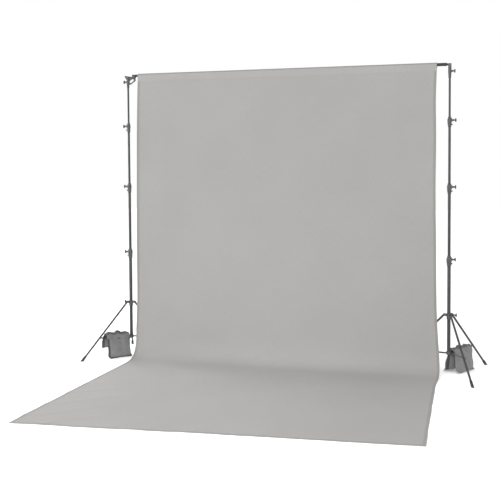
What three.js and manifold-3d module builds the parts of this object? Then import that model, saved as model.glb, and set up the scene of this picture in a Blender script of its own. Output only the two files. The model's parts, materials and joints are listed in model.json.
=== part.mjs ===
// Background support system: two telescopic stands on folding tripods, a telescopic crossbar that
// lies in a bracket on each stand, a fabric backdrop hung on the crossbar, and two saddle sandbags.
// Millimetres, +Z up. The stands are set out along X, and -Y is the side that the backdrop faces.

import * as THREE from 'three';
import { mergeVertices } from 'three/addons/utils/BufferGeometryUtils.js';
import Module from 'manifold-3d';

const wasm = await Module();
wasm.setup();

// ---------------------------------------------------------------- driving dimensions

const GAP = 0.3; // between pieces that touch
const SIDES = 16; // of a round tube
const SMALL_SIDES = 12; // of a leg or a boss
const PIN_SIDES = 8; // of a pin or a screw

const STAND_SPACING = 3260; // mast centre to mast centre
const CROSSBAR_Z = 2893; // axis of the crossbar
const COLLAR_Z = [1077, 1756, 2377]; // knob level of the three mast collars
const PIVOT_Z = 556; // leg pivots, on the sliding tripod collar
const HUB_Z = 195; // brace pivots, on the hub at the foot of the base tube

const TUBE_R = [16.5, 14, 12, 10]; // base tube, then the three risers
const TUBE_WALL = 1.5;
const TUBE_OVERLAP = 130; // of a riser inside the tube below
const TUBE_ABOVE_KNOB = 6;
const BASE_BOTTOM_Z = 176;

const LEG_R = 10;
const LEG_WALL = 1.4;
const LEG_PIVOT_R = 45; // from the mast's axis
const LEG_END = { r: 560, z: 14 }; // where the leg's axis ends, in its rubber foot
const LEG_HEAD = 11; // of leg above its pivot
const FOOT_R = 13;
const FOOT_LENGTH = 46;
const PIN_R = 2.8;
const PIN_HOLE_R = 3.1;
const PIN_HEAD_R = 5;
const PIN_HEAD = 2;
const LUG_THICK = 3.2;

const HUB_PIVOT_R = 32;
const BRACE_ON_LEG = 470; // from the leg's pivot to the brace's rivet
const BRACE_HALF = 7;
const BRACE_THICK = 3.5;
const BRACE_SIDE = LEG_R + 0.75; // the bar lies beside the leg, this far from its axis

const LEFT_LEGS = [233.7, 353.7, 113.7]; // degrees from +X, seen from above
const RIGHT_LEGS = [57, 297, 177];
const LEFT_KNOBS = 173.7; // the way that the knobs point
const RIGHT_KNOBS = 357;

const COLLAR_BELOW = 63; // a mast collar, from its knob's level
const COLLAR_ABOVE = 33;
const BOSS_R = 10; // the boss that a knob screws into
const BOSS_REACH = 42;
const SCREW_R = 4;
const MAST_KNOB_R = 57; // knob centre from the mast's axis
const TRIPOD_KNOB_R = 68;
const TRIPOD_KNOB_DROP = 2; // below the leg pivots
const BRACKET_KNOB_R = 46;
const BRACKET_KNOB_DROP = 62; // below the crossbar's axis
const BRACKET_BOTTOM = 123;

const INNER_BAR = { r: 12, from: -1580, to: 650 };
const OUTER_BAR = { r: 15, from: -250, to: 1597 };
const PLUG_R = 10;
const PLUG_END = 1645;

const CLOTH = 1.5; // thickness
const CLOTH_HALF_WIDTH = 1513;
const POCKET_R = 18; // inside the pocket round the crossbar
const POCKET_SEAM = 60; // below the crossbar's axis
const CLOTH_LIFT = 0.5; // above the floor
const BEND_END_Y = -560; // where the sweep has come down to the floor
const REACH_LEFT = { x: -1486, y: -2604 }; // front corners of the cloth on the floor
const REACH_RIGHT = { x: 1698, y: -2328 };
const FLOOR_STEPS = 3;
const DRAW_IN = 0.008; // how far the hanging edges pull in, as a share of the width

const BAG_FROM = 40; // along the brace, from the mast's axis
const BAG_TO = 312;
const BAG_BOTTOM = 5;
const BAG_TOP = 250;

const legAngle = Math.atan2(LEG_END.r - LEG_PIVOT_R, PIVOT_Z - LEG_END.z); // from the vertical
const legLength = Math.hypot(LEG_END.r - LEG_PIVOT_R, PIVOT_Z - LEG_END.z);
const braceEnd = {
  r: LEG_PIVOT_R + BRACE_ON_LEG * Math.sin(legAngle),
  z: PIVOT_Z - BRACE_ON_LEG * Math.cos(legAngle),
};

// ---------------------------------------------------------------- materials

function finish(color, roughness, metalness) {
  return new THREE.MeshStandardMaterial({ color, roughness, metalness });
}

const gunmetal = finish(0x58565a, 0.42, 0.75);
const casting = finish(0x3c3b3e, 0.55, 0.35);
const blackTube = finish(0x232225, 0.4, 0.4);
const blackPlastic = finish(0x1d1c1f, 0.6, 0);
const rubber = finish(0x18181a, 0.85, 0);
const muslin = finish(0xb1b0ad, 0.95, 0);
const canvas = finish(0x6b696d, 0.9, 0);

// ---------------------------------------------------------------- solids

function solidOf(geometry) {
  const bare = geometry.clone();
  bare.deleteAttribute('normal');
  bare.deleteAttribute('uv');
  const welded = mergeVertices(bare, 1e-4);
  return new wasm.Manifold(new wasm.Mesh({
    numProp: 3,
    vertProperties: new Float32Array(welded.attributes.position.array),
    triVerts: new Uint32Array(welded.index.array),
  }));
}

function geometryOf(solid) {
  const { vertProperties, triVerts } = solid.getMesh();
  const geometry = new THREE.BufferGeometry();
  geometry.setAttribute('position', new THREE.BufferAttribute(vertProperties, 3));
  geometry.setIndex(new THREE.BufferAttribute(triVerts, 1));
  geometry.computeVertexNormals();
  return geometry;
}

function joined(pieces, cuts = []) {
  let solid = solidOf(pieces[0]);
  for (const piece of pieces.slice(1)) solid = solid.add(solidOf(piece));
  for (const cut of cuts) solid = solid.subtract(solidOf(cut));
  return geometryOf(solid);
}

// A turned piece about the Z axis, from [radius, height] pairs in order up the outside.
function turned(profile, sides = SIDES) {
  const points = profile.map(([r, z]) => new THREE.Vector2(r, z));
  return new THREE.LatheGeometry(points, sides).rotateX(Math.PI / 2);
}

function tube(outer, inner, from, to, sides = SIDES) {
  return turned([[inner, from], [outer, from], [outer, to], [inner, to], [inner, from]], sides);
}

function rod(radius, from, to, sides = PIN_SIDES) {
  return turned([[0, from], [radius, from], [radius, to], [0, to]], sides);
}

function block(x0, x1, y0, y1, z0, z1) {
  const shape = new THREE.BoxGeometry(x1 - x0, y1 - y0, z1 - z0);
  return shape.translate((x0 + x1) / 2, (y0 + y1) / 2, (z0 + z1) / 2);
}

// A plate whose outline is in the radial plane: points are [radius, height], and the plate
// spans from side0 to side1 across it.
function plate(outline, side0, side1) {
  const shape = new THREE.Shape(outline.map(([r, z]) => new THREE.Vector2(r, z)));
  const solid = new THREE.ExtrudeGeometry(shape, { depth: side1 - side0, bevelEnabled: false });
  return solid.rotateX(Math.PI / 2).translate(0, side1, 0);
}

function along(geometry, axis) {
  return axis === 'x' ? geometry.rotateY(Math.PI / 2) : geometry.rotateX(-Math.PI / 2);
}

function arc(cx, cz, radius, fromDegrees, toDegrees, steps) {
  return Array.from({ length: steps + 1 }, (_, i) => {
    const a = THREE.MathUtils.degToRad(fromDegrees + ((toDegrees - fromDegrees) * i) / steps);
    return [cx + radius * Math.cos(a), cz + radius * Math.sin(a)];
  });
}

// A bar with round ends between two points of the radial plane.
function roundEnded(a, b, half, side0, side1) {
  const turn = THREE.MathUtils.radToDeg(Math.atan2(b.z - a.z, b.r - a.r));
  const outline = [
    ...arc(b.r, b.z, half, turn - 90, turn + 90, 4),
    ...arc(a.r, a.z, half, turn + 90, turn + 270, 4),
  ];
  return plate(outline, side0, side1);
}

function pin(r, z, radius, side0, side1) {
  return along(rod(radius, side0, side1), 'y').translate(r, 0, z);
}

// ---------------------------------------------------------------- group helpers

const support = new THREE.Group();

function add(parent, name, geometry, material) {
  const mesh = new THREE.Mesh(geometry, material);
  mesh.name = name;
  parent.add(mesh);
  return mesh;
}

function turnedGroup(parent, degrees, z = 0) {
  const group = new THREE.Group();
  group.rotation.z = THREE.MathUtils.degToRad(degrees);
  group.position.z = z;
  parent.add(group);
  return group;
}

// ---------------------------------------------------------------- knobs and collars

// A T-shaped clamp knob: its screw lies along +X, and its centre is at radius reach.
function knobGeometry(reach, screwFrom) {
  const half = 17;
  const wing = [
    [-4, -7], [-6, -half + 3], [-3.5, -half], [3.5, -half], [6, -half + 3], [5, -7],
    [5, 7], [6, half - 3], [3.5, half], [-3.5, half], [-6, half - 3], [-4, 7],
  ];
  const bar = plate(wing.map(([r, z]) => [reach + r, z]), -6, 6);
  const neck = turned([[0, reach - 14], [5.5, reach - 14], [8, reach - 3], [0, reach - 3]], PIN_SIDES);
  const screw = along(rod(SCREW_R, screwFrom, reach - 10), 'x');
  return joined([bar, along(neck, 'x'), screw]);
}

function bossGeometry(reach) {
  const profile = [[0, 0], [BOSS_R, 0], [BOSS_R, reach - 3], [BOSS_R - 2, reach], [0, reach]];
  return along(turned(profile, SMALL_SIDES), 'x');
}

function screwHole(from, to) {
  return along(rod(SCREW_R + GAP, from, to), 'x');
}

// The clamp on top of a tube: it grips the lower tube and guides the riser above.
function collarGeometry(lowerR, upperR) {
  const step = TUBE_ABOVE_KNOB + GAP;
  const sleeve = turned([
    [0, -COLLAR_BELOW], [lowerR + 4.5, -COLLAR_BELOW], [lowerR + 7, -8], [lowerR + 7, 9],
    [upperR + 4.5, COLLAR_ABOVE], [0, COLLAR_ABOVE],
  ]);
  const bore = rod(lowerR + GAP, -COLLAR_BELOW - 1, step, SIDES);
  const neck = rod(upperR + GAP, 0, COLLAR_ABOVE + 1, SIDES);
  const lug = block(5, lowerR + 15, -6, 6, -46, -32);
  const hole = screwHole(lowerR + 5, BOSS_REACH + 1);
  return joined([sleeve, bossGeometry(BOSS_REACH), lug], [bore, neck, hole]);
}

// ---------------------------------------------------------------- tripod

function tripodCollarGeometry(legs, knob) {
  const pieces = [turned([[0, -40], [22, -40], [22.5, 13], [0, 13]])];
  for (const degrees of legs) {
    const turn = THREE.MathUtils.degToRad(degrees);
    const lug = [[12, -14], [40, -10], ...arc(LEG_PIVOT_R, 0, 9, -70, 90, 4), [12, 9]];
    const inner = LEG_R + 0.6;
    const outer = inner + LUG_THICK;
    for (const [from, to] of [[inner, outer], [-outer, -inner]]) {
      pieces.push(plate(lug, from, to).rotateZ(turn));
    }
    pieces.push(pin(LEG_PIVOT_R, 0, PIN_R, -inner - 1, inner + 1).rotateZ(turn));
    pieces.push(pin(LEG_PIVOT_R, 0, PIN_HEAD_R, outer - 1, outer + PIN_HEAD).rotateZ(turn));
    pieces.push(pin(LEG_PIVOT_R, 0, PIN_HEAD_R, -outer - PIN_HEAD, 1 - outer).rotateZ(turn));
  }
  const turn = THREE.MathUtils.degToRad(knob);
  pieces.push(bossGeometry(TRIPOD_KNOB_R - 16).translate(0, 0, -TRIPOD_KNOB_DROP).rotateZ(turn));
  const hole = screwHole(24, TRIPOD_KNOB_R).translate(0, 0, -TRIPOD_KNOB_DROP).rotateZ(turn);
  return joined(pieces, [rod(TUBE_R[0] + GAP, -50, 50, SIDES), hole]);
}

function braceHubGeometry(legs) {
  const pieces = [rod(22, -15, 15, SIDES)];
  const outside = BRACE_SIDE + BRACE_THICK + GAP;
  for (const degrees of legs) {
    const turn = THREE.MathUtils.degToRad(degrees);
    const ear = [[10, -9], ...arc(HUB_PIVOT_R, 0, 7, -80, 80, 4), [10, 9]];
    pieces.push(plate(ear, BRACE_SIDE - 4.6, BRACE_SIDE - GAP).rotateZ(turn));
    pieces.push(pin(HUB_PIVOT_R, 0, PIN_R, BRACE_SIDE - 2, outside + 1).rotateZ(turn));
    pieces.push(pin(HUB_PIVOT_R, 0, PIN_HEAD_R, outside, outside + PIN_HEAD).rotateZ(turn));
  }
  return joined(pieces, [rod(TUBE_R[0] + GAP, -30, 30, SIDES)]);
}

// The leg lies down its own axis, which leans out in the radial plane.
function leaning(geometry) {
  return geometry.rotateY(-legAngle).translate(LEG_PIVOT_R, 0, PIVOT_Z);
}

function legGeometry() {
  const body = tube(LEG_R, LEG_R - LEG_WALL, -legLength, LEG_HEAD, SMALL_SIDES);
  return leaning(joined([body], [pin(0, 0, PIN_HOLE_R, -LEG_R - 2, LEG_R + 2)]));
}

function footGeometry() {
  const cap = leaning(turned([
    [0, -legLength - 40], [FOOT_R, -legLength - 40], [FOOT_R, FOOT_LENGTH - legLength - 6],
    [FOOT_R - 1.5, FOOT_LENGTH - legLength], [0, FOOT_LENGTH - legLength],
  ], SMALL_SIDES));
  const mouth = FOOT_LENGTH + 10 - legLength;
  const socket = leaning(rod(LEG_R + GAP, -legLength - GAP, mouth, SMALL_SIDES));
  const underFloor = block(0, 900, -100, 100, -200, 0);
  return joined([cap], [socket, underFloor]);
}

function braceGeometry() {
  const from = { r: HUB_PIVOT_R, z: HUB_Z };
  const outside = BRACE_SIDE + BRACE_THICK;
  const bar = roundEnded(from, braceEnd, BRACE_HALF, BRACE_SIDE, outside);
  const rivet = pin(braceEnd.r, braceEnd.z, PIN_HEAD_R, outside - 1, outside + PIN_HEAD);
  const hole = pin(from.r, from.z, PIN_HOLE_R, BRACE_SIDE - 5, outside + 5);
  return joined([bar, rivet], [hole]);
}

function addTripod(stand, side, legs, knob) {
  const collar = new THREE.Group();
  collar.position.z = PIVOT_Z;
  stand.add(collar);
  add(collar, `${side}_tripod_collar`, tripodCollarGeometry(legs, knob), casting);
  const knobGroup = turnedGroup(stand, knob, PIVOT_Z - TRIPOD_KNOB_DROP);
  add(knobGroup, `${side}_tripod_knob`, knobGeometry(TRIPOD_KNOB_R, 25), blackPlastic);
  const hub = new THREE.Group();
  hub.position.z = HUB_Z;
  stand.add(hub);
  add(hub, `${side}_brace_hub`, braceHubGeometry(legs), casting);
  legs.forEach((degrees, i) => {
    const radial = turnedGroup(stand, degrees);
    add(radial, `${side}_leg_${i + 1}`, legGeometry(), gunmetal);
    add(radial, `${side}_foot_${i + 1}`, footGeometry(), rubber);
    add(radial, `${side}_brace_${i + 1}`, braceGeometry(), gunmetal);
  });
}

// ---------------------------------------------------------------- mast

function addMast(stand, side, knob) {
  const top = (k) => COLLAR_Z[k] + TUBE_ABOVE_KNOB;
  const ends = [
    [BASE_BOTTOM_Z, top(0)],
    [top(0) - TUBE_OVERLAP, top(1)],
    [top(1) - TUBE_OVERLAP, top(2)],
    [top(2) - TUBE_OVERLAP, CROSSBAR_Z - 40],
  ];
  const names = ['base_tube', 'riser_2', 'riser_3', 'riser_4'];
  ends.forEach(([from, to], k) => {
    add(stand, `${side}_${names[k]}`, tube(TUBE_R[k], TUBE_R[k] - TUBE_WALL, from, to), gunmetal);
  });
  COLLAR_Z.forEach((z, k) => {
    const group = turnedGroup(stand, knob, z);
    add(group, `${side}_collar_${k + 1}`, collarGeometry(TUBE_R[k], TUBE_R[k + 1]), casting);
    add(group, `${side}_knob_${k + 1}`, knobGeometry(MAST_KNOB_R, TUBE_R[k] + 6), blackPlastic);
  });
}

// ---------------------------------------------------------------- crossbar brackets

// The sleeve that both brackets slip over the top riser with, about the mast's axis, with
// height 0 at the crossbar's axis.
function bracketSleeve(top) {
  return turned([
    [0, -BRACKET_BOTTOM], [13.2, -BRACKET_BOTTOM], [15.5, -70], [15.5, top], [0, top],
  ]);
}

function bracketCuts(knob) {
  const turn = THREE.MathUtils.degToRad(knob);
  return [
    rod(TUBE_R[3] + GAP, -BRACKET_BOTTOM - 1, -40 + GAP, SIDES),
    screwHole(15, 60).translate(0, 0, -BRACKET_KNOB_DROP).rotateZ(turn),
  ];
}

function bracketBoss(knob) {
  const turn = THREE.MathUtils.degToRad(knob);
  return bossGeometry(BRACKET_KNOB_R - 15).translate(0, 0, -BRACKET_KNOB_DROP).rotateZ(turn);
}

// The left bracket reaches inwards: an arm with a diagonal strut under it carries a cradle that
// the crossbar's end lies in.
function armBracketGeometry(knob) {
  const outline = [
    [-36, 2], [-36, -7], [-14, -44], [-10, -88], [30, -88], [84, -52], [84, -19], [58, -19], [58, -14],
  ];
  const web = plate(outline, -7, 7);
  const windowHole = plate([[16, -70], [32, -74], [66, -50], [66, -36], [44, -34], [18, -52]], -20, 20);
  const cradle = block(58, 84, -17, 17, -22, 4);
  const boss = pin(26, -76, 8, -10, 10);
  const trough = along(rod(INNER_BAR.r + GAP, 48, 100, SIDES), 'x');
  const mouth = block(48, 100, -INNER_BAR.r - GAP, INNER_BAR.r + GAP, 0, 30);
  return joined(
    [bracketSleeve(-6), web, cradle, boss, bracketBoss(knob)],
    [windowHole, trough, mouth, ...bracketCuts(knob)],
  );
}

// The right bracket carries the crossbar's end in a saddle on top of its sleeve.
function saddleBracketGeometry(knob) {
  const saddle = block(-14, 14, -15, 15, -26, 2);
  const trough = along(rod(PLUG_R + GAP, -40, 40, SIDES), 'x');
  const mouth = block(-40, 40, -PLUG_R - GAP, PLUG_R + GAP, 0, 30);
  return joined(
    [bracketSleeve(-16), saddle, bracketBoss(knob)],
    [trough, mouth, ...bracketCuts(knob)],
  );
}

function addBracket(stand, side, geometry, knob) {
  const group = new THREE.Group();
  group.position.z = CROSSBAR_Z;
  stand.add(group);
  add(group, `${side}_bracket`, geometry, casting);
  const knobGroup = turnedGroup(stand, knob, CROSSBAR_Z - BRACKET_KNOB_DROP);
  add(knobGroup, `${side}_bracket_knob`, knobGeometry(BRACKET_KNOB_R, 16), blackPlastic);
}

// ---------------------------------------------------------------- crossbar

function addCrossbar(parent) {
  const group = new THREE.Group();
  group.position.z = CROSSBAR_Z;
  parent.add(group);
  const { r: innerR } = INNER_BAR;
  const { r: outerR } = OUTER_BAR;
  const inner = tube(innerR, innerR - 1.6, INNER_BAR.from, INNER_BAR.to);
  const outer = tube(outerR, innerR + 0.6, OUTER_BAR.from, OUTER_BAR.to);
  add(group, 'crossbar_inner', along(inner, 'x'), blackTube);
  add(group, 'crossbar_outer', along(outer, 'x'), blackTube);
  const end = OUTER_BAR.from;
  const lock = turned([
    [innerR + GAP, end - 24], [16, end - 24], [17, end - 20], [17, end + 22],
    [outerR + GAP, end + 22], [outerR + GAP, end - GAP], [innerR + GAP, end - GAP],
    [innerR + GAP, end - 24],
  ]);
  add(group, 'crossbar_lock', along(lock, 'x'), blackPlastic);
  const tip = OUTER_BAR.to;
  const plug = turned([
    [0, tip - 40], [innerR + 0.3, tip - 40], [innerR + 0.3, tip + GAP], [outerR + 0.6, tip + GAP],
    [outerR + 0.6, tip + 7], [PLUG_R, tip + 7], [PLUG_R, PLUG_END], [0, PLUG_END],
  ]);
  add(group, 'crossbar_end_plug', along(plug, 'x'), blackPlastic);
}

// ---------------------------------------------------------------- backdrop

// The middle of the cloth, seen from the side as [y, z]: it hangs from the front of the
// crossbar, bows a little forwards, and sweeps out onto the floor.
function sweepCurve() {
  const knots = [
    [-POCKET_R - CLOTH / 2, CROSSBAR_Z], [-45, 2550], [-92, 1770], [-106, 1100], [-108, 700],
    [-118, 400], [-145, 250], [-205, 125], [-305, 45], [-430, 10],
    [BEND_END_Y, CLOTH_LIFT + CLOTH / 2],
  ];
  return new THREE.CatmullRomCurve3(knots.map(([y, z]) => new THREE.Vector3(0, y, z)));
}

function clothOutline() {
  const middle = sweepCurve().getPoints(34).map((p) => [p.y, p.z]);
  const floor = CLOTH_LIFT + CLOTH / 2;
  for (let i = 1; i <= FLOOR_STEPS; i += 1) {
    middle.push([BEND_END_Y + ((REACH_LEFT.y - BEND_END_Y) * i) / FLOOR_STEPS, floor]);
  }
  const offset = (side) => middle.map(([y, z], i) => {
    const [y0, z0] = middle[Math.max(i - 1, 0)];
    const [y1, z1] = middle[Math.min(i + 1, middle.length - 1)];
    const length = Math.hypot(y1 - y0, z1 - z0);
    return [y + (side * CLOTH * (z1 - z0)) / length / 2, z - (side * CLOTH * (y1 - y0)) / length / 2];
  });
  const front = offset(1);
  const back = offset(-1).filter(([, z]) => z < CROSSBAR_Z - POCKET_SEAM - 2);
  const over = arc(0, CROSSBAR_Z, POCKET_R + CLOTH, -30, 170, 12);
  return [...over, ...front.slice(1), ...back.reverse()];
}

function pocketHole() {
  const [seamY, seamZ] = [-POCKET_R - 0.6, CROSSBAR_Z - POCKET_SEAM + 12];
  return [[seamY, seamZ], ...arc(0, CROSSBAR_Z, POCKET_R, -30, 180, 12)];
}

// The cloth keeps its hang, draws in a little at mid height, and fans out on the floor.
function lay(x, y, z) {
  const across = (x + CLOTH_HALF_WIDTH) / (2 * CLOTH_HALF_WIDTH);
  const run = Math.max(0, (y - BEND_END_Y) / (REACH_LEFT.y - BEND_END_Y));
  const left = THREE.MathUtils.lerp(-CLOTH_HALF_WIDTH, REACH_LEFT.x, run);
  const right = THREE.MathUtils.lerp(CLOTH_HALF_WIDTH, REACH_RIGHT.x, run);
  const reach = THREE.MathUtils.lerp(REACH_LEFT.y, REACH_RIGHT.y, across);
  const newY = run > 0 ? BEND_END_Y + (reach - BEND_END_Y) * run : y;
  const pinch = 1 - DRAW_IN * Math.sin(Math.PI * Math.min(1, z / CROSSBAR_Z)) * (run > 0 ? 0 : 1);
  return [THREE.MathUtils.lerp(left, right, across) * pinch, newY, z];
}

function addBackdrop(parent) {
  const shape = new THREE.Shape(clothOutline().map(([y, z]) => new THREE.Vector2(y, z)));
  shape.holes.push(new THREE.Path(pocketHole().map(([y, z]) => new THREE.Vector2(y, z))));
  const solid = new THREE.ExtrudeGeometry(shape, {
    depth: 2 * CLOTH_HALF_WIDTH, bevelEnabled: false, steps: 1,
  });
  const place = solid.attributes.position;
  for (let i = 0; i < place.count; i += 1) {
    const x = place.getZ(i) - CLOTH_HALF_WIDTH;
    place.setXYZ(i, ...lay(x, place.getX(i), place.getY(i)));
  }
  add(parent, 'backdrop', joined([solid]), muslin);
}

// ---------------------------------------------------------------- sandbags

// A saddle bag over a brace, seen along the brace as [side, z]: two lobes joined over the bar.
// shortSide is the side whose lobe stops short of the floor, or 0.
function bagOutline(shortSide) {
  const lobe = (side) => {
    const low = side === shortSide ? 92 : BAG_BOTTOM;
    return [
      [22, 222], [24, 150], [34, low + 30], [48, low + 8], [66, low], [92, low], [106, low + 14],
      [110, low + 45], [98, low + 95], [70, 190 + (low > 50 ? 15 : 0)], [38, 234],
    ].map(([s, z]) => [side * s, z]);
  };
  return [...lobe(1), [18, BAG_TOP], [-18, BAG_TOP], ...lobe(-1).reverse()];
}

function addSandbag(stand, side, degrees, shortSide) {
  const radial = turnedGroup(stand, degrees);
  const shape = new THREE.Shape(bagOutline(shortSide).map(([s, z]) => new THREE.Vector2(s, z)));
  const solid = new THREE.ExtrudeGeometry(shape, {
    depth: BAG_TO - BAG_FROM, bevelEnabled: false, steps: 1,
  });
  solid.rotateX(Math.PI / 2).rotateZ(Math.PI / 2).translate(BAG_FROM, 0, 0);
  add(radial, `${side}_sandbag`, joined([solid]), canvas);
}

// ---------------------------------------------------------------- assembly

function addStand(side, x, legs, knob, bracket) {
  const stand = new THREE.Group();
  stand.position.x = x;
  support.add(stand);
  addMast(stand, side, knob);
  addTripod(stand, side, legs, knob);
  addBracket(stand, side, bracket(knob), knob);
  return stand;
}

const left = addStand('left', -STAND_SPACING / 2, LEFT_LEGS, LEFT_KNOBS, armBracketGeometry);
const right = addStand('right', STAND_SPACING / 2, RIGHT_LEGS, RIGHT_KNOBS, saddleBracketGeometry);
addSandbag(left, 'left', LEFT_LEGS[0], -1);
addSandbag(right, 'right', RIGHT_LEGS[0], 0);
addCrossbar(support);
addBackdrop(support);

// The origin is on the floor, under the middle of the whole set.
const box = new THREE.Box3().setFromObject(support, true);
support.position.set(-(box.min.x + box.max.x) / 2, -(box.min.y + box.max.y) / 2, 0);

export default support;
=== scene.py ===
"""Looks for the background support system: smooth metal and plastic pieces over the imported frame, a
sewn muslin backdrop that sweeps onto the floor, and two sand-filled saddle bags."""

import json
import math

import bmesh
import bpy
import numpy as np
from mathutils import Matrix, Vector
from mathutils.bvhtree import BVHTree
from mathutils.noise import noise


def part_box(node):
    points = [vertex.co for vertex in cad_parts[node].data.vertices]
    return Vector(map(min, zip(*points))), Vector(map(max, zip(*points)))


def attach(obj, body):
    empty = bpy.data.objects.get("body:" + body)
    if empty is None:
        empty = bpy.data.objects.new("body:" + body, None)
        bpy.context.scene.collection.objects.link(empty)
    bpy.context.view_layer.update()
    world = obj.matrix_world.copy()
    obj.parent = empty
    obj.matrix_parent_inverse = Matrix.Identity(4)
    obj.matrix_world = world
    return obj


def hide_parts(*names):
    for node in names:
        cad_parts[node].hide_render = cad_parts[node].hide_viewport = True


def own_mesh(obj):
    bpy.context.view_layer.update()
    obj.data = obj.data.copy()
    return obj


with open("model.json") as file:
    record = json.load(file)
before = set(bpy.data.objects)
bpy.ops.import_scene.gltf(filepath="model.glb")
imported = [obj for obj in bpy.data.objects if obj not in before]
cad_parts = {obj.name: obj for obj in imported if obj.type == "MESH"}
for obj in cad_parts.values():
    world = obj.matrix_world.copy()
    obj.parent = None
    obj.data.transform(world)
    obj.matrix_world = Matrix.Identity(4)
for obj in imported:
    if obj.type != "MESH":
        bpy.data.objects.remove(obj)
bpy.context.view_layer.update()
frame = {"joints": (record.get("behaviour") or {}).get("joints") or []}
scene = bpy.context.scene

# ---- driving sizes, in millimetres

MM = 0.001
ROUND = 48  # sides of a turned piece
SMALL_ROUND = 24  # of a pin or a screw
GAP = 0.3

TUBE_R = (16.5, 14, 12, 10)  # base tube, then the risers
TUBE_WALL = 1.5
COLLAR_BELOW = 63  # a mast collar, from its knob's level
COLLAR_ABOVE = 33
BOSS_R = 10
BOSS_REACH = 42  # of a mast collar's knob boss, from the mast's axis
TRIPOD_BOSS_REACH = 52
BRACKET_BOSS_REACH = 31
SCREW_R = 4
THREAD_PITCH = 1.25
KNOB_HALF = 17  # of a knob's wing, up and down
KNOB_NECK = 14  # how far a knob's neck starts inside its wing's centre
MAST_KNOB_R = 57  # a knob's centre, from the mast's axis
TRIPOD_KNOB_R = 68
BRACKET_KNOB_R = 46
BRACKET_KNOB_DROP = 62
BRACKET_BOTTOM = 123
INNER_BAR_R = 12
OUTER_BAR_R = 15
PLUG_R = 10

LEG_R = 10
LEG_WALL = 1.4
LEG_PIVOT_R = 45
LEG_HEAD = 11
LEG_END_R = 560
LEG_END_Z = 14
FOOT_R = 13
FOOT_LENGTH = 46
HUB_PIVOT_R = 32
BRACE_ON_LEG = 470
BRACE_HALF = 7
BRACE_THICK = 3.5
BRACE_SIDE = LEG_R + 0.75
PIN_R = 2.8
PIN_HEAD_R = 5
LUG_THICK = 3.2
PIVOT_ABOVE = 40  # the leg pivots, above the lowest edge of the tripod collar
KNOB_BELOW_PIVOT = 2

LEG_ANGLES = {"left": (233.7, 353.7, 113.7), "right": (57, 297, 177)}
KNOB_ANGLE = {"left": 173.7, "right": 357}
SIDES = ("left", "right")


# ---- places, from the frame


def centre(node):
    low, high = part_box(node)
    return (low + high) / 2


MAST = {side: centre(f"{side}_base_tube") for side in SIDES}
BAR = centre("crossbar_inner")
PIVOT_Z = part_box("left_tripod_collar")[0].z + PIVOT_ABOVE * MM
HUB_Z = centre("left_brace_hub").z
COLLAR_Z = [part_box(f"left_collar_{n}")[0].z + COLLAR_BELOW * MM for n in (1, 2, 3)]

leg_out = LEG_END_R - LEG_PIVOT_R
leg_drop = PIVOT_Z / MM - LEG_END_Z
LEG_LEAN = math.atan2(leg_out, leg_drop)
LEG_LENGTH = math.hypot(leg_out, leg_drop)
BRACE_END = (
    LEG_PIVOT_R + BRACE_ON_LEG * math.sin(LEG_LEAN),
    PIVOT_Z / MM - BRACE_ON_LEG * math.cos(LEG_LEAN),
)


def at(x, y, z, degrees=0.0):
    return Matrix.Translation((x, y, z)) @ Matrix.Rotation(math.radians(degrees), 4, "Z")


def on_mast(side, z, degrees=0.0):
    return at(MAST[side].x, MAST[side].y, z, degrees)


# ---- shapes


def rounded(points, radius, steps=3, closed=False):
    """The outline with its corners turned into short arcs."""
    out = []
    last = len(points) - 1
    for i, point in enumerate(points):
        if not closed and i in (0, last):
            out.append(tuple(point))
            continue
        p = Vector(point)
        back = Vector(points[i - 1]) - p
        ahead = Vector(points[(i + 1) % len(points)]) - p
        room = min(radius, back.length * 0.45, ahead.length * 0.45)
        a = p + back.normalized() * room
        b = p + ahead.normalized() * room
        for k in range(steps + 1):
            t = k / steps
            q = a.lerp(p, t).lerp(p.lerp(b, t), t)
            out.append((q.x, q.y))
    return out


def mirrored(points):
    """An outline from its lower half: the upper half is the same, upside down."""
    return [*points, *((r, -z) for r, z in reversed(points))]


def saved(bm, name):
    mesh = bpy.data.meshes.new(name)
    bm.to_mesh(mesh)
    bm.free()
    return mesh


def faced(bm, name):
    """The finished mesh, with every face turned outwards."""
    bmesh.ops.recalc_face_normals(bm, faces=bm.faces)
    return saved(bm, name)


def mesh_of(bm):
    bmesh.ops.remove_doubles(bm, verts=bm.verts, dist=1e-7)
    return faced(bm, "shape")


def linked(name, data):
    obj = bpy.data.objects.new(name, data)
    scene.collection.objects.link(obj)
    return obj


def evaluated(obj):
    return obj.evaluated_get(bpy.context.evaluated_depsgraph_get())


def turned(profile, sides=ROUND):
    """A closed piece turned about Z from (radius, height) pairs, which start and end on the axis or
    close on themselves."""
    bm = bmesh.new()
    loop = profile[0] == profile[-1] and profile[0][0] > 0
    rings = []
    for r, z in profile[:-1] if loop else profile:
        turns = range(sides) if r > 0 else (0,)
        angles = [2 * math.pi * i / sides for i in turns]
        spots = [(r * math.cos(a) * MM, r * math.sin(a) * MM, z * MM) for a in angles]
        rings.append([bm.verts.new(spot) for spot in spots])
    for low, high in zip(rings, rings[1:] + (rings[:1] if loop else [])):
        for i in range(sides):
            j = (i + 1) % sides
            corners = [low[i % len(low)], low[j % len(low)], high[j % len(high)], high[i % len(high)]]
            face = list(dict.fromkeys(corners))
            if len(face) > 2:
                bm.faces.new(face)
    return mesh_of(bm)


def tube(outer, inner, low, high, ease=0.5):
    corners = [(inner, low), (outer, low), (outer, high), (inner, high)]
    outline = rounded(corners, ease, 2, closed=True)
    return turned(outline + outline[:1])


def rod(radius, low, high, ease=0.0, sides=ROUND):
    outline = [(0, low), (radius, low), (radius, high), (0, high)]
    return turned(rounded(outline, ease) if ease else outline, sides)


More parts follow.
